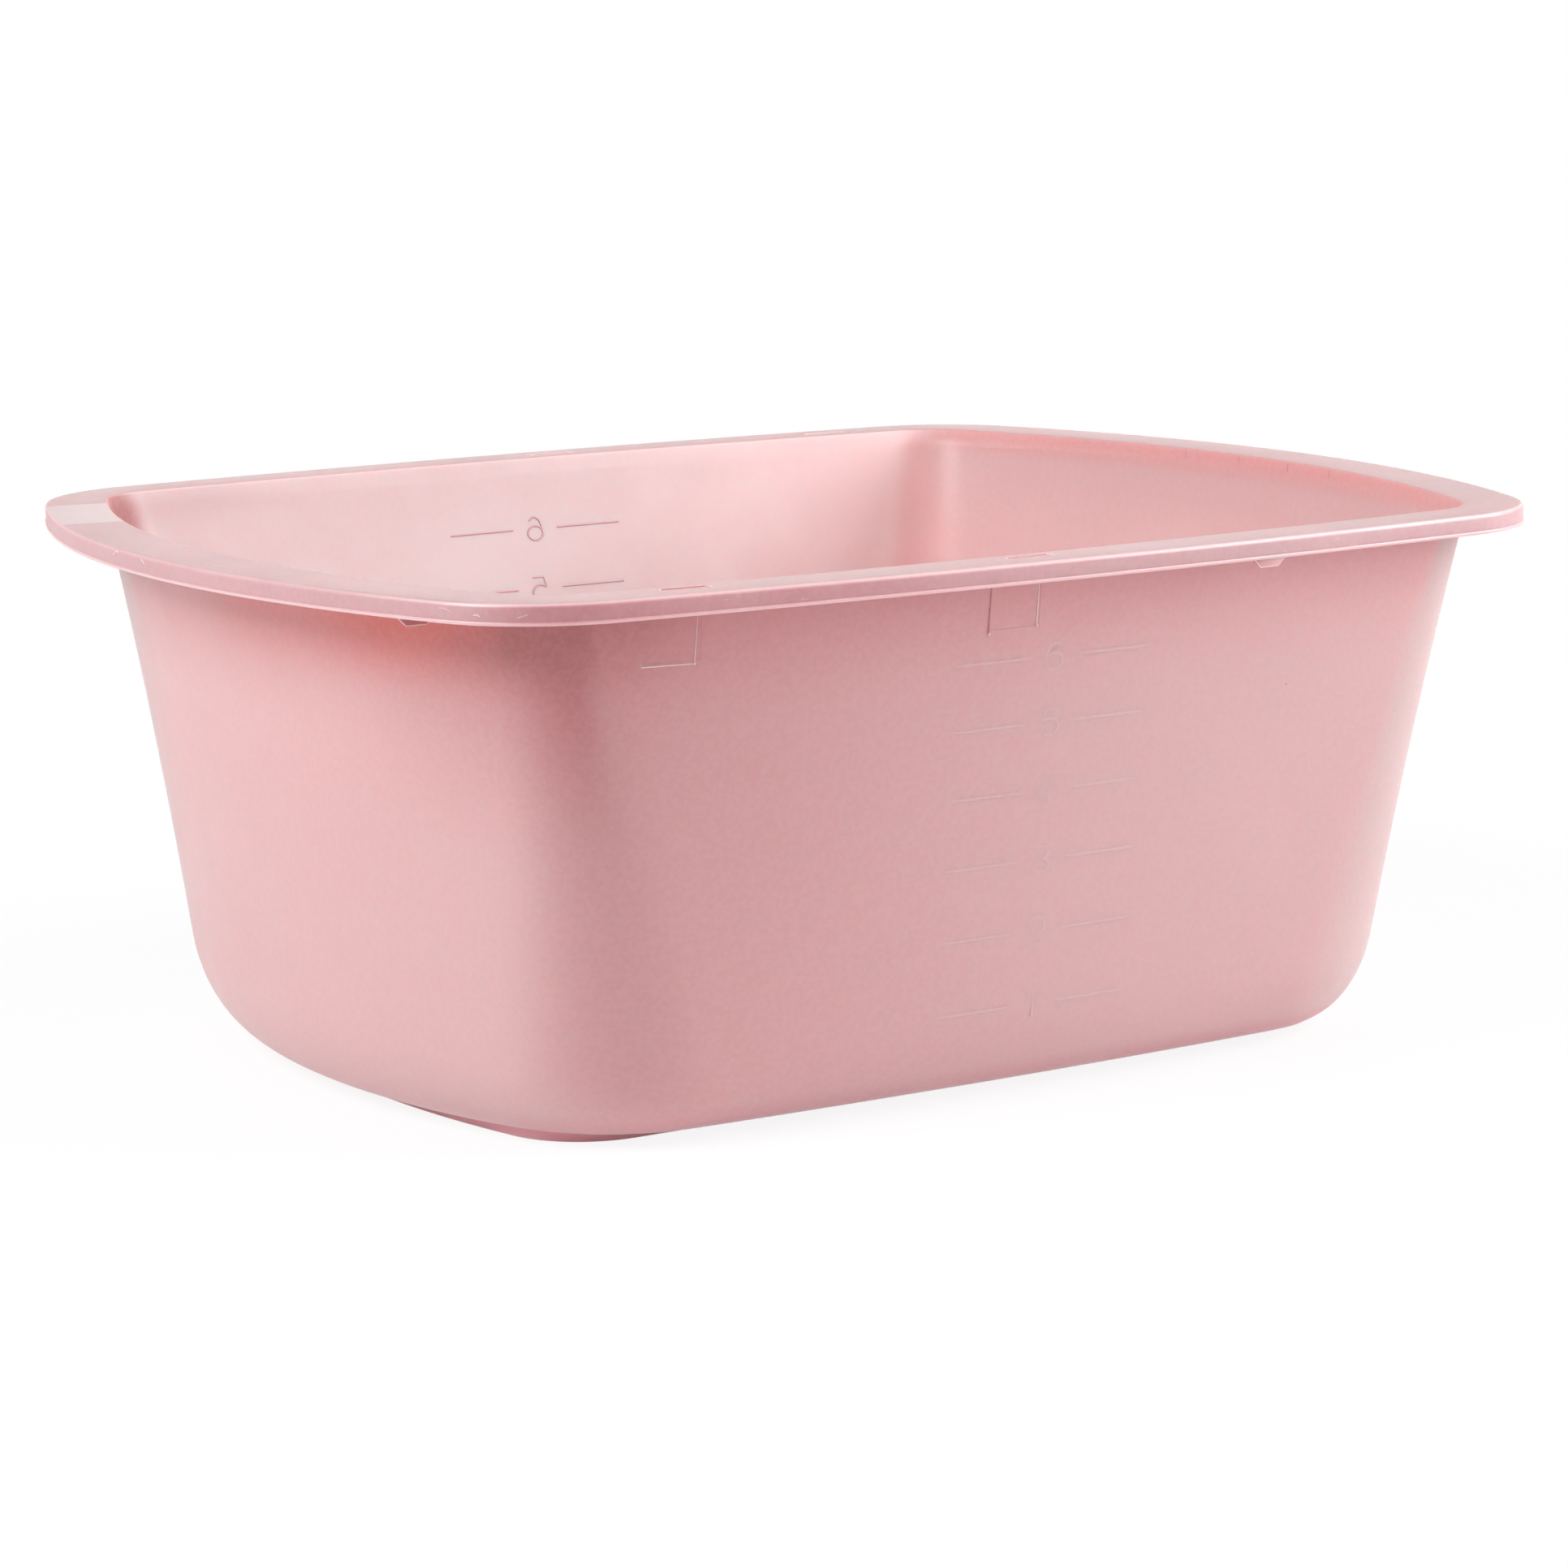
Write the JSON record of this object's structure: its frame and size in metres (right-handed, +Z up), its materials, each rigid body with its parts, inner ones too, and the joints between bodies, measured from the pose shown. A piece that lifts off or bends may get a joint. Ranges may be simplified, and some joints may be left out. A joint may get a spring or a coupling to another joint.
{
  "type": "hand basin",
  "caption": "Rectangular pink plastic hand basin with drafted, bowed walls, a lipped rim flange with stacking lugs, and a low foot ring.",
  "frame": {"origin": "under the middle of the basin, in the plane of the foot ring's underside that it stands on", "axes": "+X along the basin, +Y across it towards the long wall with the litre scale, +Z up out of its mouth"},
  "size_m": [0.3264, 0.2728, 0.1269],
  "materials": {
    "pink_polypropylene": "satin, slightly translucent"
  },
  "bodies": {
    "root": {"basin": "pink_polypropylene"}
  },
  "joints": []
}
